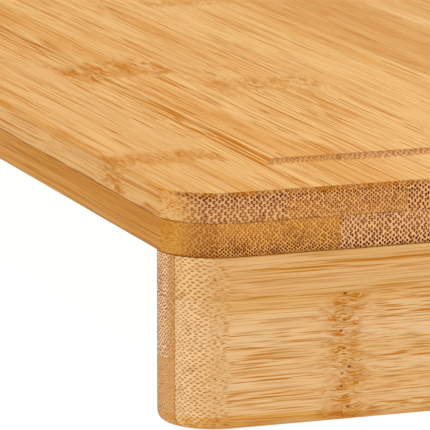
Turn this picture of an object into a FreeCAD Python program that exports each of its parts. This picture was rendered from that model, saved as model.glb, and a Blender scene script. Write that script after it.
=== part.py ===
import FreeCAD, Part
import math
import os

# A raised bamboo cutting board. The board is two plies of long bamboo strips, glued edge to edge
# and face to face. It stands on two rails of the same two-ply stock, one glued and dowelled under
# each end. A shallow juice groove runs round the working face.
#
# Millimetres, +Z up. The origin is on the ground under the middle of the board. X runs across the
# board's strips and along the rails, Y runs along the strips, and the front end is at -Y.

# Board
BOARD_WIDTH = 280.0
BOARD_LENGTH = 500.0
TOP_PLY = 5.6
BOTTOM_PLY = 6.4
CORNER_RADIUS = 11.0
TOP_ARRIS = 0.9
BOTTOM_ARRIS = 0.4

# Strips. The seams of the two plies are staggered, so the first strips differ in width.
STRIP_WIDTH = 23.8
FIRST_TOP_STRIP = 21.2
FIRST_BOTTOM_STRIP = 7.8

# Juice groove, cut by a round-nosed cutter. The inset is from the board's edge to the outer lip.
GROOVE_INSET = 22.6
GROOVE_DEPTH = 1.25
GROOVE_CUTTER_RADIUS = 5.0

# Rails. Each ply of a rail is a lower and an upper strip, and the seams are heights above ground.
RAIL_HEIGHT = 32.5
RAIL_OUTER_PLY = 5.6
RAIL_INNER_PLY = 6.4
RAIL_OUTER_SEAM = 24.5
RAIL_INNER_SEAM = 13.0
FOOT_RADIUS = 2.75
RAIL_BACK_RADIUS = 0.9

# Dowels, hidden in blind holes that are a little deeper than the dowel is long.
DOWELS_PER_RAIL = 5
DOWEL_SPACING = 55.0
DOWEL_DIAMETER = 6.0
DOWEL_IN_BOARD = 7.0
DOWEL_IN_RAIL = 18.0
DOWEL_CHAMFER = 0.8
HOLE_END_GAP = 1.0

# Worked out from the sizes above
UNDERSIDE = RAIL_HEIGHT
PLY_SEAM = UNDERSIDE + BOTTOM_PLY
TOP = PLY_SEAM + TOP_PLY
RIGHT = BOARD_WIDTH / 2
LEFT = -RIGHT
BACK = BOARD_LENGTH / 2
FRONT = -BACK
RAIL_THICKNESS = RAIL_OUTER_PLY + RAIL_INNER_PLY
RAIL_PLY_SEAM = FRONT + RAIL_OUTER_PLY
RAIL_BACK = FRONT + RAIL_THICKNESS
DOWEL_LINE = FRONT + RAIL_THICKNESS / 2

TOLERANCE = 0.01
UP = FreeCAD.Vector(0, 0, 1)


def block(low, high):
    """The box between two opposite corners."""
    corner = FreeCAD.Vector(*low)
    size = FreeCAD.Vector(*high) - corner
    return Part.makeBox(size.x, size.y, size.z, corner)


def rounded(shape, radius, wanted):
    """The shape with a radius on every edge whose bounding box passes the test."""
    edges = [edge for edge in shape.Edges if wanted(edge.BoundBox)]
    return shape.makeFillet(radius, edges)


def only_solid(shape):
    """The one solid that a cut or an intersection leaves."""
    if len(shape.Solids) != 1:
        raise ValueError(f"expected one solid, found {len(shape.Solids)}")
    return shape.Solids[0]


def is_upright(bounds):
    return bounds.ZLength > TOLERANCE and bounds.XLength < TOLERANCE and bounds.YLength < TOLERANCE


def board_blank():
    """The board with rounded corners and eased edges, before it is grooved and drilled."""
    blank = block((LEFT, FRONT, UNDERSIDE), (RIGHT, BACK, TOP))
    blank = rounded(blank, CORNER_RADIUS, is_upright)
    blank = rounded(blank, TOP_ARRIS, lambda bounds: bounds.ZMin > TOP - TOLERANCE)
    return rounded(blank, BOTTOM_ARRIS, lambda bounds: bounds.ZMax < UNDERSIDE + TOLERANCE)


def groove_cutter():
    """The space swept by the round-nosed cutter on its way round the board."""
    radius = GROOVE_CUTTER_RADIUS
    rise = radius - GROOVE_DEPTH
    inset = GROOVE_INSET + math.sqrt(radius**2 - rise**2)
    x = RIGHT - inset
    y = BACK - inset
    z = TOP + rise
    corners = [FreeCAD.Vector(*place, z) for place in ((-x, -y), (x, -y), (x, y), (-x, y))]
    sweep = []
    for start, end in zip(corners, corners[1:] + corners[:1]):
        run = end - start
        sweep.append(Part.makeCylinder(radius, run.Length, start, run))
        sweep.append(Part.makeSphere(radius, start))
    return sweep[0].multiFuse(sweep[1:])


def rail_blank():
    """The front rail, flush with the board at its front and ends, before it is drilled."""
    rail = block((LEFT, FRONT, 0), (RIGHT, RAIL_BACK, RAIL_HEIGHT))
    rail = rounded(rail, CORNER_RADIUS, lambda b: is_upright(b) and b.YMax < FRONT + TOLERANCE)

    def at_foot(bounds):
        return bounds.ZMax < TOLERANCE and bounds.YMin < RAIL_BACK - TOLERANCE

    def round_back_face(bounds):
        return bounds.YMin > RAIL_BACK - TOLERANCE and bounds.ZMin < RAIL_HEIGHT - TOLERANCE

    rail = rounded(rail, FOOT_RADIUS, at_foot)
    return rounded(rail, RAIL_BACK_RADIUS, round_back_face)


def dowel_places():
    """The X positions of the dowels along a rail."""
    middle = (DOWELS_PER_RAIL - 1) / 2
    return [(number - middle) * DOWEL_SPACING for number in range(DOWELS_PER_RAIL)]


def dowel_pin(x):
    """A plain dowel with a chamfer at each end."""
    length = DOWEL_IN_BOARD + DOWEL_IN_RAIL
    foot = FreeCAD.Vector(x, DOWEL_LINE, UNDERSIDE - DOWEL_IN_RAIL)
    pin = Part.makeCylinder(DOWEL_DIAMETER / 2, length, foot, UP)
    rims = [edge for edge in pin.Edges if edge.BoundBox.ZLength < TOLERANCE]
    return pin.makeChamfer(DOWEL_CHAMFER, rims)


def dowel_hole(x):
    """The blind hole for one dowel, in the rail and the board together."""
    length = DOWEL_IN_BOARD + DOWEL_IN_RAIL + 2 * HOLE_END_GAP
    foot = FreeCAD.Vector(x, DOWEL_LINE, UNDERSIDE - DOWEL_IN_RAIL - HOLE_END_GAP)
    return Part.makeCylinder(DOWEL_DIAMETER / 2, length, foot, UP)


def turned_round(shape):
    """A copy for the other end of the board, turned half a turn about the vertical."""
    copy = shape.copy()
    copy.rotate(FreeCAD.Vector(), UP, 180)
    return copy


def strip_edges(first_width):
    """The X positions of the long edges of the strips in one ply, from left to right."""
    edges = [LEFT]
    seam = LEFT + first_width
    while seam < RIGHT:
        edges.append(seam)
        seam += STRIP_WIDTH
    return edges + [RIGHT]


def ply_strips(board, name, first_width, low, high):
    """The strips of one ply, cut out of the board and numbered from the left."""
    edges = strip_edges(first_width)
    strips = {}
    for number, (left, right) in enumerate(zip(edges, edges[1:]), start=1):
        lane = block((left, FRONT, low), (right, BACK, high))
        strips[f"{name}_{number:02d}"] = only_solid(board.common(lane))
    return strips


def rail_strips(rail):
    """The four strips of the front rail, under the names of their places in it."""
    plies = {
        "outer": (FRONT, RAIL_PLY_SEAM, RAIL_OUTER_SEAM),
        "inner": (RAIL_PLY_SEAM, RAIL_BACK, RAIL_INNER_SEAM),
    }
    strips = {}
    for ply, (front, back, seam) in plies.items():
        for level, low, high in (("lower", 0, seam), ("upper", seam, RAIL_HEIGHT)):
            lane = block((LEFT, front, low), (RIGHT, back, high))
            strips[f"{ply}_{level}"] = only_solid(rail.common(lane))
    return strips


def build():
    """Every node of the cutting board by name."""
    front_holes = Part.makeCompound([dowel_hole(x) for x in dowel_places()])
    front_dowels = Part.makeCompound([dowel_pin(x) for x in dowel_places()])
    board = board_blank().cut([groove_cutter(), front_holes, turned_round(front_holes)])
    nodes = ply_strips(board, "top_strip", FIRST_TOP_STRIP, PLY_SEAM, TOP)
    nodes |= ply_strips(board, "bottom_strip", FIRST_BOTTOM_STRIP, UNDERSIDE, PLY_SEAM)
    for place, strip in rail_strips(rail_blank().cut(front_holes)).items():
        nodes[f"front_rail_{place}"] = strip
        nodes[f"back_rail_{place}"] = turned_round(strip)
    nodes["front_dowels"] = front_dowels
    nodes["back_dowels"] = turned_round(front_dowels)
    return nodes


os.makedirs("parts", exist_ok=True)
for node, shape in build().items():
    shape.exportStep(f"parts/{node}.step")
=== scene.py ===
import math
import random

import bmesh
import bpy
from mathutils import Matrix, Vector


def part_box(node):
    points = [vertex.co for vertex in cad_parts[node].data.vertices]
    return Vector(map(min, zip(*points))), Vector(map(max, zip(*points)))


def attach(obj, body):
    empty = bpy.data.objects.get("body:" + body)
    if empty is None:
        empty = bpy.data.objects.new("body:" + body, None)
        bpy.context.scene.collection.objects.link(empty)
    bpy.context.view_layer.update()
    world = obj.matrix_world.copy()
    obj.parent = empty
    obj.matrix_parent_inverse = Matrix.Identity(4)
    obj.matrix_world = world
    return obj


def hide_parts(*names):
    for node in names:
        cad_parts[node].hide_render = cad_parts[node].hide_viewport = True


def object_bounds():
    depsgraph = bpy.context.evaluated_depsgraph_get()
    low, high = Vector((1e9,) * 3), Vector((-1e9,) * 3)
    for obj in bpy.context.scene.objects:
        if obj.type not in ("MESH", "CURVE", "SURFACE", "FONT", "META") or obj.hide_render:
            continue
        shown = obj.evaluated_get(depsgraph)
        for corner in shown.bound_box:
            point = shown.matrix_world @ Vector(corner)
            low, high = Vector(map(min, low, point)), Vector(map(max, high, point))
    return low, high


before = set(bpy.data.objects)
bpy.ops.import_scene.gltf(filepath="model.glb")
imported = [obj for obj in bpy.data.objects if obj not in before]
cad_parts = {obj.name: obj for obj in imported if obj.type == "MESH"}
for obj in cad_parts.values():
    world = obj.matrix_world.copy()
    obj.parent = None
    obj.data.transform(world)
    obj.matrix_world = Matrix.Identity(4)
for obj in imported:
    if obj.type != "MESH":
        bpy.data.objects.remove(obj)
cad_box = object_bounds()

# A raised bamboo cutting board: two plies of long strips on two rails of the same stock. Every
# strip is rebuilt here with finer roundings, and all the strips share one solid bamboo material.
# Metres and radians, unless a comment says otherwise.

MM = 0.001

# Roundings, groove and dowel holes, as the design has them
CORNER_RADIUS = 11.0 * MM
TOP_ARRIS = 0.9 * MM
BOTTOM_ARRIS = 0.4 * MM
FOOT_RADIUS = 2.75 * MM
RAIL_BACK_RADIUS = 0.9 * MM
GROOVE_INSET = 22.6 * MM
GROOVE_DEPTH = 1.25 * MM
GROOVE_CUTTER_RADIUS = 5.0 * MM
DOWELS_PER_RAIL = 5
HOLE_END_GAP = 1.0 * MM

# How finely the round stretches are divided
CORNER_STEPS = 28
ARRIS_STEPS = 6
GROOVE_STEPS = 24
HOLE_STEPS = 48

# Tolerances
SHARP_ANGLE = math.radians(30)
MERGE_DISTANCE = 0.002 * MM
SEAM_MARGIN = 0.05 * MM

# A face belongs to the groove beyond this inset from the sides and between these depths below the
# working face, and to an eased edge where the upright part of its normal is between these shares.
GROOVE_FACE_INSET = GROOVE_INSET / 2
GROOVE_FACE_DROP = (0.005 * MM, 1.5 * GROOVE_DEPTH)
EASED_TILT = (0.05, 0.95)

# Noise by name: the size of its grain in millimetres across, into and along a strip, its detail
# and its roughness
GRAINS = {
    "knot wander": ((3.5, 3.5, 60), 2.0, 0.5),
    "knot fray": ((1.1, 1.1, 60), 2.0, 0.5),
    "slow bend": ((22, 22, 95), 2.0, 0.5),
    "quick bend": ((3, 3, 22), 2.0, 0.5),
    "knot swerve": ((2.2, 2.2, 5), 2.0, 0.5),
    "blotch": ((2.6, 2.6, 40), 3.0, 0.5),
    "mottle": ((1.1, 1.1, 30), 3.0, 0.6),
    "clear patch": ((1.6, 1.6, 50), 2.0, 0.5),
    "broad band": ((6.5, 6.5, 130), 2.0, 0.5),
    "fine fibre": ((0.26, 0.26, 26), 3.0, 0.6),
    # The unevenness of the painted shade lines on the groove's inner wall
    "painted shade": ((0.8, 8, 30), 2.0, 0.5),
    "glue": ((2.5, 2.5, 9), 2.0, 0.5),
    "rub": ((3, 3, 14), 2.0, 0.5),
}

# The noise values between which a pattern fades in
BLOTCH_CUT = (0.3, 0.7)
STAIN_CUT = (0.56, 0.74)
MOTTLE_CUT = (0.25, 0.75)
STREAK_CUT = (0.46, 0.64)
CLEAR_CUT = (0.35, 0.65)
BAND_CUT = (0.38, 0.75)
FIBRE_CUT = (0.3, 0.7)
# For the painted shade lines on the groove's inner wall, the noise values between which they grow
# stronger
PAINTED_SHADE_CUT = (0.3, 0.6)
KNOT_STAIN_CUT = (0.42, 0.62)
GLUE_CUT = (0.4, 0.65)
RUB_CUT = (0.35, 0.65)

# How far a seed of 1 moves a strip's noise, in grains
SEED_SHIFT = (17.3, 31.7, 113.1)

# Knots, bends, the painted shade on the groove's inner wall, pits and glue, in millimetres
KNOT_WANDER = 7.0
SLOW_BEND = 3.0
QUICK_BEND = 0.5
KNOT_SWERVE = 2.6
DASH_CHANGE = (-1.0, 5.0)
PAINTED_SHADE_ZONE = (1.5, 2.4)
PAINTED_SHADE_START = (25.0, 29.0)
PAINTED_SHADE_FADE = (-48.0, -36.0)
PIT_SPACING = 2.6
PIT_SCATTER = 1.8
PIT_RADIUS = (0.14, 0.34)
GLUE_THICKNESS = (0.08, 0.3)

# Radians of the pattern of painted shade lines in a millimetre, and how much of a knot's wobble they
# follow
PAINTED_SHADE_RATE = 4.2
PAINTED_SHADE_SWAY = 0.02

# Shares of a knot's width
KNOT_CORE = 0.3
STROKE_LENGTH = 0.65
STROKE_BREADTH = 0.21
STAIN_BREADTH = 0.2

# Fibre bundles. Radii are shares of the spacing between bundles.
BUNDLE_SCATTER = 0.35
BARK_CROWDING = 0.7
CROWDING_FALL = 0.45
BUNDLE_SQUASH = 0.75
RING_RADIUS = 0.23
RING_EDGE = (0.06, 0.18)
DOT_EDGE = (0.2, 0.41)
HALO_EDGE = (0.24, 0.44)

# A ring's dark caps, by how squarely a point lies towards or away from the bark
RING_CAPS = (0.1, 0.7)
NEVER_ZERO = 0.001

# Heights in a strip, from 0 at its inner face to 1 at its bark
PITH_EDGE = (0.12, 0.4)
DENSITY_RISE = (0.05, 1.0)
SOLID_DOTS = (0.6, 0.95)
STAINED_BARK = (0.8, 1.0)

# Strengths of the end grain: of a ring's sides, of bundles by chance, in blotches and towards the
# bark, then what the groove, worn edges and pith leave of them
RING_SIDES = 0.5
BUNDLE_SHADES = (0.85, 1.2)
BLOTCH_SHADES = (0.85, 1.1)
BARK_SHADE = 1.15
GROOVE_FADE = 0.5
WORN_FADE = 0.7
PITH_FADE = 0.5
BLOTCH_STAIN = 0.35
BARK_STAIN = 0.3
HALO = 0.65
GROOVE_HALO = 0.3
MOTTLE_SHADES = (0.9, 1.1)

# Strengths of the side grain: streaks in a knot and in clear patches, fine fibres, the cosine that
# a painted shade line on the groove's inner wall is dark between, that painted shade where it thins out
# and past the knot, and knot stain
KNOT_STREAKS = 0.5
CLEAR_STREAKS = 0.5
FIBRE_SHADES = (0.94, 1.06)
PAINTED_SHADE_ROWS = (0.0, 0.8)
THIN_PAINTED_SHADE = 0.5
FAR_PAINTED_SHADE = 0.3
CLEAR_STAIN = 0.12
KNOT_STAIN = 0.5

# Pits: their shape along the strip, their scatter across it, the weakest one, and the turn from
# the sides to the broad faces over which they are placed by width and no longer by depth
PIT_SHAPE = 0.5
PIT_JITTER = 0.7
WEAKEST_PIT = 0.2
SIDE_TURN = (-0.6, -0.2)

# The fading edge of a glue line, and its spread and strength along a strip and across its end. Then
# how much end grain is left where a cut looks to the bark, and the least that an edge is rubbed
GLUE_EDGE = (0.3, 1.0)
GLUE_SPREAD = (1.3, 1.0)
GLUE_STRENGTH = (0.8, 0.45)
END_GRAIN_AT_BARK = 0.75
LEAST_RUBBED = 0.25

# How much bare bamboo shines, its roughness, and what pores, fibres and rubbing add to it
SPECULAR = 0.03
ROUGHNESS = 0.46
PORE_ROUGHNESS = 0.2
FIBRE_ROUGHNESS = 0.12
RUBBED_ROUGHNESS = -0.1

# Heights of the relief in millimetres
PORE_RELIEF = -0.02
LINE_RELIEF = -0.005
FIBRE_RELIEF = 0.005
PIT_RELIEF = -0.04

# Shares of red, green and blue
PIT_TINT = (0.4, 0.12, 0.0)
RESIN_TINT = (0.62, 0.58, 0.0)
RUBBED_TINT = (0.9, 0.7, 0.28)

# Studio lights in watts, and the floor
KEY_PLACE, KEY_POWER = (-0.2, -1.4, 1.6), 18.0
FILL_PLACE, FILL_POWER = (1.4, -0.6, 1.0), 6.0
SOFTBOX_SIZE = 1.4
WORLD_STRENGTH = 0.72
FLOOR_SIZE = 12.0
FLOOR_GAP = 0.02 * MM
FLOOR_GREY = 0.16
FLOOR_ROUGHNESS = 0.9
FLOOR_GLOW = 0.94

# The camera looks at a point this far right of the board's left side and above its underside,
# from an azimuth that is counted from straight in front
AIM_RIGHT = 7.2 * MM
AIM_UP = 8.2 * MM
AZIMUTH = math.radians(-20.2)
ELEVATION = math.radians(11.45)
DISTANCE = 0.85
LENS_MM = 393.6
SENSOR_MM = 36.0

# Places from the frame
LOW, HIGH = cad_box
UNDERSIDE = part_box("bottom_strip_01")[0].z
RAIL_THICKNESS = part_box("front_rail_inner_lower")[1].y - LOW.y
NODES = sorted(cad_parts)
DOWEL_ROWS = ("front_dowels", "back_dowels")


# ---------------------------------------------------------------- looks of the strips

def srgb(red, green, blue):
    """A shader colour from the usual 0 to 255 values."""

    def linear(value):
        value /= 255
        return value / 12.92 if value <= 0.04045 else ((value + 0.055) / 1.055) ** 2.4

    return (linear(red), linear(green), linear(blue), 1.0)


# Knots lie along a strip, and the painted shade lines on the groove's inner wall lie across it. Those
# places, the widths, the spacing of the bundles and the lengths of the streaks (Near Dash before the
# first knot, Dash past it) are in millimetres. What lies nowhere doesn't show. Seen end on, Rings is
# how hollow the bundles are, Inner Density how dark they stay away from the bark, and Pith how much Band
# Colour covers there.
# End Onset and End Full are the slants across the fibres at which end grain starts and is full,
# and Bark Boost adds to the slant where the cut also faces the bark.
NOWHERE = -1000.0
PLAIN = {
    "Face Colour": srgb(233, 184, 116),
    "Band Colour": srgb(221, 160, 82),
    "Line Colour": srgb(196, 119, 0),
    "End Colour": srgb(218, 160, 102),
    "Dot Colour": srgb(100, 38, 0),
    "Spacing": 0.7, "Rings": 0.6, "Dot Size": 1.0, "Inner Density": 0.75, "Pith": 0.0,
    "End Onset": 0.45, "End Full": 0.95, "Bark Boost": 1.5,
    "Line Contrast": 0.95, "Streak Width": 0.28, "Near Dash": 80.0, "Dash": 80.0,
    "Knot": NOWHERE, "Far Knot": NOWHERE, "Painted Groove Shade": NOWHERE,
    "Knot Width": 8.0, "Knot Stain": 0.8, "Pits": 0.25,
}
RAIL_CUT = {
    "End Onset": 0.1, "End Full": 0.75, "Bark Boost": 0.0, "Dot Size": 0.74, "Inner Density": 0.4,
}
FRONT_RAIL = {
    **RAIL_CUT,
    "Face Colour": srgb(214, 176, 127),
    "Band Colour": srgb(204, 154, 86),
    "Line Colour": srgb(178, 110, 26),
    "End Colour": srgb(234, 193, 141),
    "Dot Colour": srgb(142, 78, 16),
    "Pits": 1.0, "Streak Width": 0.2, "Line Contrast": 1.05,
}
LOOKS = {
    "top_strip_01": {
        "Face Colour": srgb(228, 178, 112),
        "End Colour": srgb(210, 157, 107), "Dot Colour": srgb(84, 26, 0),
        "Spacing": 0.78, "End Onset": 0.36,
        "Knot": 36, "Far Knot": 318, "Knot Width": 9, "Knot Stain": 1.0,
    },
    "top_strip_02": {
        "End Colour": srgb(212, 154, 93), "Dot Colour": srgb(84, 20, 0),
        # The groove's inner wall lies 7.7 mm across this strip, and painted shade lines are drawn along
        # it
        "Spacing": 0.62, "Line Contrast": 1.15, "Painted Groove Shade": 7.7,
        "Knot": 134, "Far Knot": 402, "Knot Width": 16, "Knot Stain": 1.0,
    },
    "top_strip_03": {
        "End Colour": srgb(218, 157, 105), "Dot Colour": srgb(62, 8, 0),
        "Spacing": 0.78, "Rings": 0.3, "Dot Size": 0.95, "Inner Density": 1.1, "Line Contrast": 1.15,
        "Knot": 107, "Far Knot": 377, "Knot Width": 12, "Knot Stain": 0.7,
    },
    "top_strip_04": {"Knot": 214, "Far Knot": 470, "Line Contrast": 0.8},
    "bottom_strip_01": {
        "Face Colour": srgb(216, 156, 78), "Band Colour": srgb(202, 134, 48),
        "Line Colour": srgb(174, 104, 0),
        "End Colour": srgb(192, 132, 67), "Dot Colour": srgb(108, 46, 4),
        "Spacing": 0.58, "Inner Density": 0.7, "End Onset": 0.4,
        "Line Contrast": 0.85, "Near Dash": 40.0,
    },
    "bottom_strip_02": {
        "End Colour": srgb(206, 146, 77), "Dot Colour": srgb(84, 26, 0),
        "Spacing": 0.58, "Rings": 0.5, "Inner Density": 0.6,
    },
    "bottom_strip_03": {
        "End Colour": srgb(216, 161, 110), "Dot Colour": srgb(66, 12, 0),
        "Spacing": 0.72, "Rings": 0.45, "Dot Size": 0.95, "Inner Density": 0.9,
    },
    "front_rail_outer_lower": {
        **FRONT_RAIL, "Spacing": 0.64, "Near Dash": 16.0, "Dash": 6.0,
        "Knot": 32.6, "Knot Width": 6.0, "Knot Stain": 1.0,
    },
    "front_rail_outer_upper": {
        **FRONT_RAIL, "Spacing": 0.68, "Near Dash": 26.0, "Dash": 26.0,
        "Face Colour": srgb(208, 166, 112), "Band Colour": srgb(197, 146, 80),
        "End Colour": srgb(230, 187, 131),
    },
    "front_rail_inner_lower": {
        **FRONT_RAIL, "Spacing": 0.5, "Pith": 0.5, "Inner Density": 0.5,
        "End Colour": srgb(222, 167, 108), "Dot Colour": srgb(150, 86, 32),
    },
    "front_rail_inner_upper": {
        **FRONT_RAIL, "Spacing": 0.62, "Pith": 0.9, "Inner Density": 0.8, "Dot Size": 0.9,
        "Band Colour": srgb(210, 154, 90), "End Colour": srgb(246, 202, 150),
        "Dot Colour": srgb(128, 64, 14),
    },
}

# What the look of every other strip is drawn from
DRAW_SEED = 7
PALE = {
    "Face Colour": srgb(234, 188, 124),
    "Band Colour": srgb(222, 166, 92),
    "End Colour": srgb(228, 174, 120),
}
WARM = {
    "Face Colour": srgb(218, 162, 90),
    "Band Colour": srgb(206, 142, 64),
    "End Colour": srgb(208, 146, 78),
}
FIRST_KNOT_SHARE = (0.1, 0.5)
SPACINGS = (0.6, 0.85)
RINGS = (0.4, 0.8)
KNOT_GAPS = (230, 290)
KNOT_WIDTHS = (6, 12)
KNOT_STAINS = (0.3, 0.8)
RAIL_DASHES = (6, 26)
SEEDS = (0, 50)

# How strongly the glue shows between strips side by side, and between plies
BOARD_SEAM = 0.05
RAIL_SEAM = 0.25
PLY_SEAM = 1.0


# ---------------------------------------------------------------- shapes

def rounded_loop(low_x, high_x, low_y, high_y, radii, z):
    """Points round a rectangle from the front right corner, anticlockwise. A corner of radius 0
    still gets all its points, which are merged later."""
    centres = (
        (high_x, low_y, -1, 1, -90),
        (high_x, high_y, -1, -1, 0),
        (low_x, high_y, 1, -1, 90),
        (low_x, low_y, 1, 1, 180),
    )
    loop = []
    for (x, y, side_x, side_y, start), radius in zip(centres, radii):
        for step in range(CORNER_STEPS + 1):
            angle = math.radians(start + 90 * step / CORNER_STEPS)
            loop.append((
                x + side_x * radius + radius * math.cos(angle),
                y + side_y * radius + radius * math.sin(angle),
                z,
            ))
    return loop


def loft(loops):
    """A closed mesh through loops of equal length, from the underside to the top."""
    mesh = bmesh.new()
    rings = [[mesh.verts.new(point) for point in loop] for loop in loops]
    for lower, upper in zip(rings, rings[1:]):
        for i in range(len(lower)):
            j = (i + 1) % len(lower)
            mesh.faces.new((lower[i], lower[j], upper[j], upper[i]))
    mesh.faces.new(reversed(rings[0]))
    mesh.faces.new(rings[-1])
    bmesh.ops.remove_doubles(mesh, verts=mesh.verts, dist=MERGE_DISTANCE)
    bmesh.ops.dissolve_degenerate(mesh, edges=mesh.edges, dist=MERGE_DISTANCE)
    return mesh


def quarter_round(radius):
    """(inset, rise) along a quarter circle, from the flat below to the upright side."""
    for step in range(ARRIS_STEPS + 1):
        angle = math.pi / 2 * step / ARRIS_STEPS
        yield radius * (1 - math.sin(angle)), radius * (1 - math.cos(angle))


def board_blank():
    """The whole board with its eased edges and its juice groove."""

    def ring(inset, z, radius):
        return rounded_loop(
            LOW.x + inset, HIGH.x - inset, LOW.y + inset, HIGH.y - inset, [radius] * 4, z
        )

    loops = []
    for inset, rise in quarter_round(BOTTOM_ARRIS):
        loops.append(ring(inset, UNDERSIDE + rise, CORNER_RADIUS - inset))
    for inset, drop in reversed(list(quarter_round(TOP_ARRIS))):
        loops.append(ring(inset, HIGH.z - drop, CORNER_RADIUS - inset))
    rise = GROOVE_CUTTER_RADIUS - GROOVE_DEPTH
    half_width = math.sqrt(GROOVE_CUTTER_RADIUS**2 - rise**2)
    lip_angle = math.asin(half_width / GROOVE_CUTTER_RADIUS)
    for step in range(GROOVE_STEPS + 1):
        angle = lip_angle * (1 - 2 * step / GROOVE_STEPS)
        outwards = GROOVE_CUTTER_RADIUS * math.sin(angle)
        z = HIGH.z + rise - GROOVE_CUTTER_RADIUS * math.cos(angle)
        loops.append(ring(GROOVE_INSET + half_width - outwards, z, max(outwards, 0)))
    return loft(loops)


def rail_blank():
    """The front rail with its rounded corners, foot and back edges."""
    heights = {0.0}
    for radius in (FOOT_RADIUS, RAIL_BACK_RADIUS):
        heights |= {rise for _, rise in quarter_round(radius)}

    def inset_at(height, radius):
        below = max(radius - height, 0)
        return radius - math.sqrt(radius**2 - below**2)

    loops = []
    for height in sorted(heights) + [UNDERSIDE]:
        front = inset_at(height, FOOT_RADIUS)
        back = inset_at(height, RAIL_BACK_RADIUS)
        corner = CORNER_RADIUS - front
        back_corner = RAIL_BACK_RADIUS - back
        loops.append(rounded_loop(
            LOW.x + front, HIGH.x - front, LOW.y + front, LOW.y + RAIL_THICKNESS - back,
            [corner, back_corner, back_corner, corner], LOW.z + height,
        ))
    return loft(loops)


def keep_side(mesh, point, outwards):
    """Cuts a closed mesh at a plane, drops what lies outwards of it and closes the cut."""
    geometry = list(mesh.verts) + list(mesh.edges) + list(mesh.faces)
    cut = bmesh.ops.bisect_plane(
        mesh, geom=geometry, dist=MERGE_DISTANCE, plane_co=point, plane_no=outwards,
        clear_outer=True,
    )
    edges = [part for part in cut["geom_cut"] if isinstance(part, bmesh.types.BMEdge)]
    open_edges = [edge for edge in edges if edge.is_boundary]
    if open_edges:
        bmesh.ops.contextual_create(mesh, geom=open_edges)


def strip_from(blank, node):
    """The part of a blank that lies in the CAD node's lane, as a new mesh."""
    mesh = blank.copy()
    low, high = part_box(node)
    for axis in range(3):
        direction = Vector((0, 0, 0))
        direction[axis] = 1
        if max(vert.co[axis] for vert in mesh.verts) > high[axis] + SEAM_MARGIN:
            keep_side(mesh, high, direction)
        if min(vert.co[axis] for vert in mesh.verts) < low[axis] - SEAM_MARGIN:
            keep_side(mesh, low, -direction)
    return mesh


def strip_shape(node, blanks):
    """The mesh of one strip. The back rail is the front rail turned half a turn."""
    if not node.startswith("back_rail"):
        return strip_from(blanks["rail" if "rail" in node else "board"], node)
    shape = strip_from(blanks["rail"], node.replace("back", "front"))
    turn = Matrix.Rotation(math.pi, 3, "Z")
    bmesh.ops.rotate(shape, verts=shape.verts, cent=(0, 0, 0), matrix=turn)
    return shape


def as_object(name, mesh):
    """A new object in the scene with the mesh's shape. The bmesh is used up."""
    data = bpy.data.meshes.new(name)
    mesh.to_mesh(data)
    mesh.free()
    made = bpy.data.objects.new(name, data)
    bpy.context.scene.collection.objects.link(made)
    return made


def hole_cutter(dowels):
    """One mesh of the blind holes that a row of dowels stands in."""
    low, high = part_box(dowels)
    radius = (high.y - low.y) / 2
    first, last = low.x + radius, high.x - radius
    mesh = bmesh.new()
    for number in range(DOWELS_PER_RAIL):
        x = first + (last - first) * number / (DOWELS_PER_RAIL - 1)
        made = bmesh.ops.create_cone(
            mesh, cap_ends=True, segments=HOLE_STEPS, radius1=radius, radius2=radius,
            depth=high.z - low.z + 2 * HOLE_END_GAP,
        )
        bmesh.ops.translate(mesh, verts=made["verts"], vec=(x, low.y + radius, (low.z + high.z) / 2))
    return as_object(dowels + "_cutter", mesh)


def drill(piece, cutters):
    """Cuts the dowel holes out of a strip for good."""
    for cutter in cutters:
        boolean = piece.modifiers.new(cutter.name, "BOOLEAN")
        boolean.operation = "DIFFERENCE"
        boolean.solver = "EXACT"
        boolean.object = cutter
    drilled = piece.evaluated_get(bpy.context.evaluated_depsgraph_get())
    piece.data = bpy.data.meshes.new_from_object(drilled)
    piece.modifiers.clear()


def mark_faces(data):
    """Marks the eased edges, which handling wears first, and the juice groove."""
    wear = data.attributes.new("wear", "FLOAT", "FACE")
    groove = data.attributes.new("groove", "FLOAT", "FACE")
    least, most = EASED_TILT
    highest, deepest = GROOVE_FACE_DROP
    for face in data.polygons:
        x, y, z = face.center
        inset = min(x - LOW.x, HIGH.x - x, y - LOW.y, HIGH.y - y)
        sunk = inset > GROOVE_FACE_INSET and highest < HIGH.z - z < deepest
        groove.data[face.index].value = float(sunk and face.normal.z > least)
        wear.data[face.index].value = float(not sunk and least < abs(face.normal.z) < most)


def smooth(piece):
    """Smooth round stretches, flat faces and crisp seams."""
    piece.data.polygons.foreach_set("use_smooth", [True] * len(piece.data.polygons))
    piece.data.set_sharp_from_angle(angle=SHARP_ANGLE)
    normals = piece.modifiers.new("face_weighted_normals", "WEIGHTED_NORMAL")
    normals.keep_sharp = True


# ---------------------------------------------------------------- bamboo shader

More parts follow.
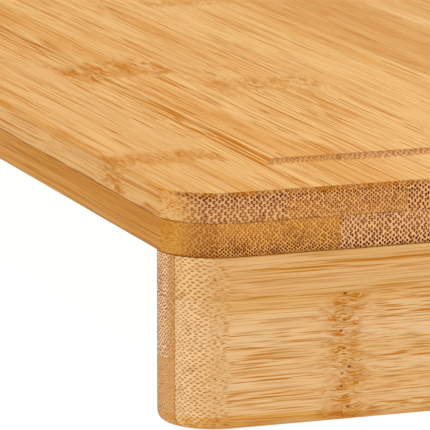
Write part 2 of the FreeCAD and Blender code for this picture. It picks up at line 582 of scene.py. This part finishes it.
class Graph:
    """Short calls for building a node tree."""

    def __init__(self, tree):
        self.tree = tree

    def put(self, socket, value):
        if isinstance(value, bpy.types.NodeSocket):
            self.tree.links.new(value, socket)
        else:
            socket.default_value = value

    def add(self, kind, inputs=None, **settings):
        node = self.tree.nodes.new(kind)
        for name, value in settings.items():
            setattr(node, name, value)
        for name, value in (inputs or {}).items():
            self.put(node.inputs[name], value)
        return node

    def math(self, operation, *values):
        node = self.add("ShaderNodeMath", operation=operation)
        for socket, value in zip(node.inputs, values):
            self.put(socket, value)
        return node.outputs[0]

    def total(self, *values):
        """The sum of several values."""
        result = values[0]
        for value in values[1:]:
            result = self.math("ADD", result, value)
        return result

    def product(self, *values):
        """The product of several values."""
        result = values[0]
        for value in values[1:]:
            result = self.math("MULTIPLY", result, value)
        return result

    def absolute(self, value):
        """The value without its sign."""
        return self.math("ABSOLUTE", value)

    def vector(self, operation, first, second):
        node = self.add("ShaderNodeVectorMath", operation=operation)
        self.put(node.inputs[0], first)
        self.put(node.inputs["Scale" if operation == "SCALE" else 1], second)
        return node.outputs["Value" if operation == "DOT_PRODUCT" else "Vector"]

    def combine(self, x, y, z):
        return self.add("ShaderNodeCombineXYZ", {"X": x, "Y": y, "Z": z}).outputs[0]

    def separate(self, vector):
        return self.add("ShaderNodeSeparateXYZ", {"Vector": vector}).outputs

    def step(self, value, low, high, start=0.0, end=1.0):
        """start below low, end above high, and a smooth rise between."""
        node = self.add("ShaderNodeMapRange", interpolation_type="SMOOTHSTEP")
        for socket, number in zip(node.inputs, (value, low, high, start, end)):
            self.put(socket, number)
        return node.outputs[0]

    def scale(self, value, start, end):
        """0 to 1 becomes start to end."""
        return self.math("MULTIPLY_ADD", value, end - start, start)

    def mix(self, factor, first, second):
        """A mix of two colours, by the colour sockets of the node."""
        node = self.add("ShaderNodeMix", data_type="RGBA")
        self.put(node.inputs["Factor"], factor)
        self.put(node.inputs[6], first)
        self.put(node.inputs[7], second)
        return node.outputs[2]

    def shade(self, colour, brightness):
        """The colour times a brightness."""
        return self.vector("SCALE", colour, brightness)

    def tint(self, colour, share):
        """The colour with this share of its red, green and blue."""
        return self.vector("MULTIPLY", colour, share)

    def noise(self, place, detail, roughness=0.5):
        inputs = {"Vector": place, "Scale": 1.0, "Detail": detail, "Roughness": roughness}
        return self.add("ShaderNodeTexNoise", inputs).outputs

    def cells(self, dimensions, **inputs):
        """Random cells: the outputs of the texture, and the random numbers of the nearest cell."""
        cells = self.add("ShaderNodeTexVoronoi", inputs, voronoi_dimensions=dimensions).outputs
        return cells, self.add("ShaderNodeSeparateColor", {"Color": cells["Color"]}).outputs


GROUP_INPUTS = {
    "NodeSocketVector": ("Origin", "Across", "Radial", "Fibre", "Seams"),
    "NodeSocketFloat": (
        "Width", "Depth", "Seed", "Spacing", "Rings", "Dot Size", "Inner Density", "Pith",
        "End Onset", "End Full", "Bark Boost", "Line Contrast", "Streak Width", "Near Dash", "Dash",
        "Painted Groove Shade", "Knot", "Far Knot", "Knot Width", "Knot Stain", "Pits",
    ),
    "NodeSocketColor": ("Face Colour", "Band Colour", "Line Colour", "End Colour", "Dot Colour"),
}
GROUP_OUTPUTS = {"Color": "NodeSocketColor", "Roughness": "NodeSocketFloat", "Normal": "NodeSocketVector"}


class Bamboo(Graph):
    """The parts of the bamboo shader group. Lengths inside it are millimetres."""

    def __init__(self, tree):
        super().__init__(tree)
        self.given = self.add("NodeGroupInput").outputs
        surface = self.add("ShaderNodeTexCoord").outputs
        local = self.vector("SUBTRACT", surface["Object"], self.given["Origin"])
        self.across, self.depth, self.along = (
            self.product(self.vector("DOT_PRODUCT", local, self.given[axis]), 1 / MM)
            for axis in ("Across", "Radial", "Fibre")
        )
        self.sidewise, self.barkwise, self.endwise = (
            self.absolute(self.vector("DOT_PRODUCT", surface["Normal"], self.given[axis]))
            for axis in ("Across", "Radial", "Fibre")
        )
        self.shift = self.vector("SCALE", SEED_SHIFT, self.given["Seed"])
        self.bark = self.math("SUBTRACT", 1.0, self.math("DIVIDE", self.depth, self.given["Depth"]))
        self.groove, self.wear = (
            self.add("ShaderNodeAttribute", attribute_name=name).outputs["Fac"]
            for name in ("groove", "wear")
        )
        self.past_knots = [
            self.math("SUBTRACT", self.along, self.given[name]) for name in ("Knot", "Far Knot")
        ]
        self.wobble = self.math("ADD", self.sway("knot wander"), self.sway("knot fray"))
        self.past_near = self.total(self.past_knots[0], self.wobble)
        self.knot = self.knots()
        self.bent = self.bent_fibres()

    def coordinates(self, across, depth, size):
        """Noise coordinates for a grain of this size."""
        width, thickness, length = size
        scaled = self.combine(
            self.math("DIVIDE", across, width), self.math("DIVIDE", depth, thickness),
            self.math("DIVIDE", self.along, length),
        )
        return self.vector("ADD", scaled, self.shift)

    def grain(self, name):
        """The outputs of a named noise."""
        size, detail, roughness = GRAINS[name]
        return self.noise(self.coordinates(self.across, self.depth, size), detail, roughness)

    def sway(self, name):
        """How far a knot's edge moves along the strip with a named noise."""
        return self.product(self.math("SUBTRACT", self.grain(name)[0], 0.5), KNOT_WANDER)

    def drift(self, name, amount):
        """How far the fibres move sideways with a named noise."""
        centred = self.vector("SUBTRACT", self.grain(name)["Color"], (0.5, 0.5, 0.5))
        return self.vector("SCALE", centred, amount)

    def knots(self):
        """1 in a knot's core and 0 beyond its width."""
        past_far = self.total(self.past_knots[1], self.wobble)
        away = self.math("MINIMUM", self.absolute(self.past_near), self.absolute(past_far))
        width = self.given["Knot Width"]
        return self.step(away, self.product(width, KNOT_CORE), width, 1.0, 0.0)

    def bent_fibres(self):
        """Places across the strip, as fibres have them that wander and swerve at the knots."""
        slow = self.drift("slow bend", SLOW_BEND)
        quick = self.drift("quick bend", QUICK_BEND)
        swerve = self.drift("knot swerve", self.product(self.knot, KNOT_SWERVE))
        bent = self.vector("ADD", self.combine(self.across, self.depth, 0.0), slow)
        bent = self.vector("ADD", self.vector("ADD", bent, quick), swerve)
        return self.separate(bent)[:2]

    def bundles(self):
        """Fibre bundles on a lattice that stands on its corner, closer together towards the bark:
        the distance from a bundle's centre, how much it is towards or away from the bark, and
        the bundle's random number."""
        diagonal = math.sqrt(0.5)
        across, depth = self.bent
        crowding = self.product(self.math("POWER", CROWDING_FALL, self.depth), BARK_CROWDING)
        deep = self.math("SUBTRACT", depth, crowding)
        lattice = self.combine(self.math("ADD", across, deep), self.math("SUBTRACT", across, deep), 0.0)
        lattice = self.vector("SCALE", lattice, self.math("DIVIDE", diagonal, self.given["Spacing"]))
        lattice = self.vector("ADD", lattice, self.shift)
        cells, chance = self.cells("2D", Vector=lattice, Scale=1.0, Randomness=BUNDLE_SCATTER)
        aslant = self.separate(self.vector("SUBTRACT", lattice, cells["Position"]))
        beside = self.product(self.math("ADD", aslant[0], aslant[1]), diagonal)
        above = self.product(self.math("SUBTRACT", aslant[0], aslant[1]), BUNDLE_SQUASH * diagonal)
        beside, above = self.product(beside, beside), self.product(above, above)
        reach = self.math("ADD", beside, above)
        distance = self.math("DIVIDE", self.math("SQRT", reach), self.given["Dot Size"])
        return distance, self.math("DIVIDE", above, self.math("ADD", reach, NEVER_ZERO)), chance[0]

    def end_grain(self):
        """Seen end on: rings that are darkest towards and away from the bark, and solid dots near
        it. Returns the colour and the rings."""
        distance, upright, chance = self.bundles()
        caps = self.step(upright, *RING_CAPS, RING_SIDES, 1.0)
        from_rim = self.absolute(self.math("SUBTRACT", distance, RING_RADIUS))
        rim = self.step(from_rim, *RING_EDGE, 1.0, 0.0)
        solid = self.step(self.bark, *SOLID_DOTS, self.math("SUBTRACT", 1.0, self.given["Rings"]), 1.0)
        dot = self.product(self.step(distance, *DOT_EDGE, 1.0, 0.0), solid)
        ring = self.math("MAXIMUM", self.product(rim, caps), dot)

        blotch = self.grain("blotch")[0]
        near_bark = self.step(self.bark, *DENSITY_RISE, self.given["Inner Density"], BARK_SHADE)
        uneven = self.step(blotch, *BLOTCH_CUT, *BLOTCH_SHADES)
        density = self.product(self.scale(chance, *BUNDLE_SHADES), near_bark, uneven)
        pith = self.step(self.bark, *PITH_EDGE, self.given["Pith"], 0.0)
        faded = self.product(
            self.scale(self.groove, 1.0, GROOVE_FADE), self.scale(self.wear, 1.0, WORN_FADE),
            self.scale(pith, 1.0, PITH_FADE),
        )
        dark = self.product(ring, density, faded)

        stained = self.math(
            "MAXIMUM", self.step(blotch, *STAIN_CUT, 0.0, BLOTCH_STAIN),
            self.step(self.bark, *STAINED_BARK, 0.0, BARK_STAIN),
        )
        halo = self.step(distance, *HALO_EDGE, HALO, 0.0)
        halo = self.product(halo, self.scale(self.groove, 1.0, GROOVE_HALO))
        colour = self.mix(stained, self.given["End Colour"], self.given["Dot Colour"])
        colour = self.mix(pith, colour, self.given["Band Colour"])
        colour = self.shade(colour, self.step(self.grain("mottle")[0], *MOTTLE_CUT, *MOTTLE_SHADES))
        colour = self.mix(halo, colour, self.given["Line Colour"])
        return self.mix(dark, colour, self.given["Dot Colour"]), ring

    def streaks(self, pitch, length):
        """Tapered streaks along the fibres."""
        place = self.coordinates(*self.bent, (pitch, pitch, length))
        return self.step(self.noise(place, 1.0)[0], *STREAK_CUT)

    def lines(self):
        """The dark streaks, of another length past the first knot, and a knot's short strokes."""
        width, knot_width = self.given["Streak Width"], self.given["Knot Width"]
        before, past = (self.streaks(width, self.given[name]) for name in ("Near Dash", "Dash"))
        streaks = self.step(self.past_near, *DASH_CHANGE, before, past)
        breadth = self.product(knot_width, width, STROKE_BREADTH)
        strokes = self.streaks(breadth, self.product(knot_width, STROKE_LENGTH))
        strokes = self.product(strokes, self.knot, self.given["Knot Stain"])
        streaks = self.product(streaks, self.scale(self.knot, 1.0, KNOT_STREAKS))
        streaks = self.math("MAXIMUM", streaks, strokes)
        presence = self.step(self.grain("clear patch")[0], *CLEAR_CUT, CLEAR_STREAKS, 1.0)
        presence = self.math("MAXIMUM", presence, self.knot)
        return self.product(streaks, presence, self.given["Line Contrast"])

    def painted_groove_shade(self):
        """Painted shade: a few dark lines side by side on the groove's inner wall and lip, where the wall
        is shaded.
        """
        aside = self.total(
            self.across, self.math("MULTIPLY", self.given["Painted Groove Shade"], -1.0),
            self.product(self.wobble, PAINTED_SHADE_SWAY),
        )
        rows = self.step(self.math("COSINE", self.product(aside, PAINTED_SHADE_RATE)), *PAINTED_SHADE_ROWS)
        zone = self.product(self.step(self.absolute(aside), *PAINTED_SHADE_ZONE, 1.0, 0.0), rows)
        uneven = self.step(self.grain("painted shade")[0], *PAINTED_SHADE_CUT, THIN_PAINTED_SHADE, 1.0)
        fading = self.step(self.past_near, *PAINTED_SHADE_FADE, 1.0, FAR_PAINTED_SHADE)
        return self.product(self.product(zone, uneven), self.step(self.along, *PAINTED_SHADE_START), fading)

    def knot_stain(self):
        """The patchy darker ground of a knot."""
        breadth, length = (
            self.product(self.given["Knot Width"], share) for share in (STAIN_BREADTH, STROKE_LENGTH)
        )
        place = self.coordinates(self.across, self.depth, (breadth, breadth, length))
        patch = self.step(self.noise(place, 2.0)[0], *KNOT_STAIN_CUT)
        return self.product(self.knot, self.scale(patch, CLEAR_STAIN, 1.0), self.given["Knot Stain"])

    def pits(self):
        """A loose row of small pits across each knot, on the broad faces and on the sides."""
        facing = self.math("SUBTRACT", self.barkwise, self.sidewise)
        sideways = self.step(facing, *SIDE_TURN, self.depth, self.across)
        cells, chance = self.cells("1D", W=sideways, Scale=1 / PIT_SPACING, Randomness=PIT_JITTER)
        off_row = self.product(self.math("SUBTRACT", chance[0], 0.5), PIT_SCATTER)
        near, far = (self.absolute(self.math("ADD", past, off_row)) for past in self.past_knots)
        row = self.math("MINIMUM", near, far)
        aside = self.product(cells["Distance"], PIT_SPACING)
        distance = self.total(self.product(row, row, PIT_SHAPE), self.product(aside, aside))
        pit = self.step(self.math("SQRT", distance), *PIT_RADIUS, 1.0, 0.0)
        return self.product(pit, self.scale(chance[1], WEAKEST_PIT, 1.0), self.given["Pits"])

    def side_grain(self, lines, fibres, pits):
        """Seen side on: soft bands, streaks, fine fibres, painted shade on the groove's inner wall, knot
        stain and pits.
        """
        dark = self.given["Line Colour"]
        band = self.step(self.grain("broad band")[0], *BAND_CUT)
        colour = self.mix(band, self.given["Face Colour"], self.given["Band Colour"])
        colour = self.mix(lines, colour, dark)
        colour = self.shade(colour, self.step(fibres, *FIBRE_CUT, *FIBRE_SHADES))
        # Painted shade: dark lines of Line Colour on the groove's inner wall and lip
        colour = self.mix(self.painted_groove_shade(), colour, dark)
        colour = self.mix(self.product(self.knot_stain(), KNOT_STAIN), colour, dark)
        return self.mix(pits, colour, self.tint(self.given["Dot Colour"], PIT_TINT))

    def endness(self):
        """How far the cut lies across the fibres. Where it also faces the bark it counts for more."""
        boosted = self.product(self.endwise, self.barkwise)
        boosted = self.math("MULTIPLY_ADD", boosted, self.given["Bark Boost"], self.endwise)
        endness = self.step(boosted, self.given["End Onset"], self.given["End Full"])
        return self.product(endness, self.scale(self.barkwise, 1.0, END_GRAIN_AT_BARK))

    def with_glue(self, colour, endness):
        """The colour with thin uneven glue lines at the seams, fainter on end grain."""
        thickness = self.step(self.grain("glue")[0], *GLUE_CUT, *GLUE_THICKNESS)
        thickness = self.product(thickness, self.scale(endness, *GLUE_SPREAD))
        gaps = (
            self.across,
            self.math("SUBTRACT", self.given["Width"], self.across),
            self.math("SUBTRACT", self.given["Depth"], self.depth),
        )
        glue = 0.0
        for strength, gap in zip(self.separate(self.given["Seams"]), gaps):
            from_seam = self.math("DIVIDE", self.absolute(gap), thickness)
            line = self.product(self.step(from_seam, *GLUE_EDGE, 1.0, 0.0), strength)
            glue = self.math("MAXIMUM", glue, line)
        resin = self.tint(self.given["Line Colour"], RESIN_TINT)
        resin = self.mix(endness, resin, self.given["Dot Colour"])
        return self.mix(self.product(glue, self.scale(endness, *GLUE_STRENGTH)), colour, resin)


def bamboo_group():
    """The shader group of solid bamboo. Fibre bundles run through a strip, so that a cut across
    them shows dots and a cut along them shows streaks."""
    group = bpy.data.node_groups.new("bamboo", "ShaderNodeTree")
    for kind, names in GROUP_INPUTS.items():
        for name in names:
            group.interface.new_socket(name, in_out="INPUT", socket_type=kind)
    for name, kind in GROUP_OUTPUTS.items():
        group.interface.new_socket(name, in_out="OUTPUT", socket_type=kind)
    g = Bamboo(group)
    result = g.add("NodeGroupOutput").inputs
    fibres, lines, pits, endness = g.grain("fine fibre")[0], g.lines(), g.pits(), g.endness()
    end_colour, ring = g.end_grain()
    colour = g.mix(endness, g.side_grain(lines, fibres, pits), end_colour)
    colour = g.with_glue(colour, endness)

    # Eased edges are rubbed a little warmer and smoother
    rubbed = g.product(g.wear, g.step(g.grain("rub")[0], *RUB_CUT, LEAST_RUBBED, 1.0))
    g.put(result["Color"], g.mix(rubbed, colour, g.tint(colour, RUBBED_TINT)))

    pores = g.product(ring, endness)
    rough = g.total(
        ROUGHNESS, g.product(pores, PORE_ROUGHNESS), g.product(fibres, FIBRE_ROUGHNESS),
        g.product(rubbed, RUBBED_ROUGHNESS),
    )
    g.put(result["Roughness"], rough)
    relief = g.total(
        g.product(pores, PORE_RELIEF), g.product(lines, LINE_RELIEF),
        g.product(fibres, FIBRE_RELIEF), g.product(pits, PIT_RELIEF),
    )
    bump = g.add("ShaderNodeBump", {"Height": relief, "Strength": 1.0, "Distance": MM})
    g.put(result["Normal"], bump.outputs[0])


# ---------------------------------------------------------------- materials

def drawn_look(node, draw):
    """A strip's look where nothing else settles it: its warmth, its bundles and its knots."""
    low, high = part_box(node)
    length = (high.x - low.x if "rail" in node else high.y - low.y) / MM
    warmth = draw.random()
    look = {"Line Contrast": 0.8}
    for name, pale in PALE.items():
        look[name] = [start + (end - start) * warmth for start, end in zip(pale, WARM[name])]
    look["Knot"] = draw.uniform(*FIRST_KNOT_SHARE) * length
    look["Spacing"] = draw.uniform(*SPACINGS)
    look["Rings"] = draw.uniform(*RINGS)
    look["Far Knot"] = look["Knot"] + draw.uniform(*KNOT_GAPS)
    look["Knot Width"] = draw.uniform(*KNOT_WIDTHS)
    look["Knot Stain"] = draw.uniform(*KNOT_STAINS)
    if "rail" in node:
        look |= RAIL_CUT
        look["Near Dash"] = look["Dash"] = draw.uniform(*RAIL_DASHES)
    return look


def strip_frame(node):
    """Where the grain of a strip or a row of dowels runs, and how wide and deep it is."""
    low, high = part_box(node)
    x, y, z = Vector((1, 0, 0)), Vector((0, 1, 0)), Vector((0, 0, 1))
    size = high - low
    if node in DOWEL_ROWS:
        origin, across, inwards, fibre, width, depth = low, x, y, z, size.x, size.y
    elif "rail" in node:
        # Both plies of a rail turn their bark side outwards, away from the joint between them
        front, outer = node.startswith("front"), "outer" in node
        fibre, left = (x, LOW.x) if front else (-x, HIGH.x)
        inwards, bark_side = (y, low.y) if front == outer else (-y, high.y)
        origin, across, width, depth = Vector((left, bark_side, low.z)), z, size.z, size.y
    else:
        # The top ply's bark side is up, and the bottom ply's is down
        inwards, bark_side = (-z, high.z) if node.startswith("top") else (z, low.z)
        origin, across, fibre = Vector((low.x, LOW.y, bark_side)), x, y
        width, depth = size.x, size.z
    return {
        "Origin": origin, "Across": across, "Radial": inwards, "Fibre": fibre,
        "Width": width / MM, "Depth": depth / MM,
    }


def strip_seams(node):
    """How strongly the glue shows at a strip's low side, high side and inner face."""
    low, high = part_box(node)
    if "rail" in node:
        return RAIL_SEAM * (low.z > LOW.z + SEAM_MARGIN), RAIL_SEAM * ("lower" in node), PLY_SEAM
    left, right = low.x > LOW.x + SEAM_MARGIN, high.x < HIGH.x - SEAM_MARGIN
    return BOARD_SEAM * left, BOARD_SEAM * right, PLY_SEAM


def bamboo(node, draw, seams=(0.0, 0.0, 0.0)):
    """The material of one strip or row of dowels. A look is drawn even where it goes unused, so
    that the draws for the other strips stay the same."""
    seed = draw.uniform(*SEEDS)
    drawn = drawn_look(node, draw)
    settings = {
        "Seed": seed, "Seams": seams, **strip_frame(node), **PLAIN, **LOOKS.get(node, drawn),
    }
    material = bpy.data.materials.new(node + "_bamboo")
    material.use_nodes = True
    tree = material.node_tree
    shader = tree.nodes["Principled BSDF"]
    grain = tree.nodes.new("ShaderNodeGroup")
    grain.node_tree = bpy.data.node_groups["bamboo"]
    for name, value in settings.items():
        grain.inputs[name].default_value = value
    tree.links.new(grain.outputs["Color"], shader.inputs["Base Color"])
    tree.links.new(grain.outputs["Roughness"], shader.inputs["Roughness"])
    tree.links.new(grain.outputs["Normal"], shader.inputs["Normal"])
    shader.inputs["Specular IOR Level"].default_value = SPECULAR
    return material


# ---------------------------------------------------------------- studio

def add_floor():
    """A pale floor that glows softly, as a lit studio table does, and is clear from below."""
    mesh = bmesh.new()
    bmesh.ops.create_grid(mesh, x_segments=1, y_segments=1, size=FLOOR_SIZE)
    floor = as_object("floor", mesh)
    floor.location.z = LOW.z - FLOOR_GAP
    material = bpy.data.materials.new("floor")
    material.use_nodes = True
    tree = material.node_tree
    shader = tree.nodes["Principled BSDF"]
    shader.inputs["Base Color"].default_value = (FLOOR_GREY, FLOOR_GREY, FLOOR_GREY, 1)
    shader.inputs["Roughness"].default_value = FLOOR_ROUGHNESS
    shader.inputs["Emission Color"].default_value = (1, 1, 1, 1)
    shader.inputs["Emission Strength"].default_value = FLOOR_GLOW
    material.cycles.emission_sampling = "NONE"
    g = Graph(tree)
    clear = g.add("ShaderNodeBsdfTransparent")
    below = g.add("ShaderNodeNewGeometry").outputs["Backfacing"]
    mixed = g.add("ShaderNodeMixShader")
    g.put(mixed.inputs[0], below)
    g.put(mixed.inputs[1], shader.outputs[0])
    g.put(mixed.inputs[2], clear.outputs[0])
    g.put(tree.nodes["Material Output"].inputs["Surface"], mixed.outputs[0])
    floor.data.materials.append(material)


def add_softbox(name, place, power):
    """A square soft light that faces the middle of the board."""
    light = bpy.data.lights.new(name, "AREA")
    light.shape = "SQUARE"
    light.size = SOFTBOX_SIZE
    light.energy = power
    lamp = bpy.data.objects.new(name, light)
    lamp.location = place
    middle = (LOW + HIGH) / 2
    lamp.rotation_euler = (middle - Vector(place)).to_track_quat("-Z", "Y").to_euler()
    bpy.context.scene.collection.objects.link(lamp)


def add_world():
    """Even white light from all round."""
    world = bpy.data.worlds.new("studio")
    world.use_nodes = True
    background = world.node_tree.nodes["Background"]
    background.inputs["Color"].default_value = (1, 1, 1, 1)
    background.inputs["Strength"].default_value = WORLD_STRENGTH
    bpy.context.scene.world = world


def add_camera():
    """A long lens, low at the front left corner."""
    aim = Vector((LOW.x + AIM_RIGHT, LOW.y, UNDERSIDE + AIM_UP))
    back = Vector((
        math.sin(AZIMUTH) * math.cos(ELEVATION),
        -math.cos(AZIMUTH) * math.cos(ELEVATION),
        math.sin(ELEVATION),
    ))
    camera = bpy.data.objects.new("camera", bpy.data.cameras.new("camera"))
    camera.data.lens = LENS_MM
    camera.data.sensor_width = SENSOR_MM
    camera.location = aim + back * DISTANCE
    camera.rotation_euler = back.to_track_quat("Z", "Y").to_euler()
    bpy.context.scene.collection.objects.link(camera)
    bpy.context.scene.camera = camera


# ---------------------------------------------------------------- build

bamboo_group()
draw = random.Random(DRAW_SEED)
blanks = {"board": board_blank(), "rail": rail_blank()}
cutters = [hole_cutter(row) for row in DOWEL_ROWS]
for node in NODES:
    if node in DOWEL_ROWS:
        continue
    piece = as_object(node + "_wood", strip_shape(node, blanks))
    drill(piece, cutters)
    mark_faces(piece.data)
    smooth(piece)
    piece.data.materials.clear()
    piece.data.materials.append(bamboo(node, draw, strip_seams(node)))
    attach(piece, "root")
    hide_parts(node)
for cutter in cutters:
    bpy.data.objects.remove(cutter)
for row in DOWEL_ROWS:
    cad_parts[row].data.materials[0] = bamboo(row, draw)

add_floor()
add_softbox("key", KEY_PLACE, KEY_POWER)
add_softbox("fill", FILL_PLACE, FILL_POWER)
add_world()
add_camera()
bpy.context.scene.view_settings.view_transform = "Standard"
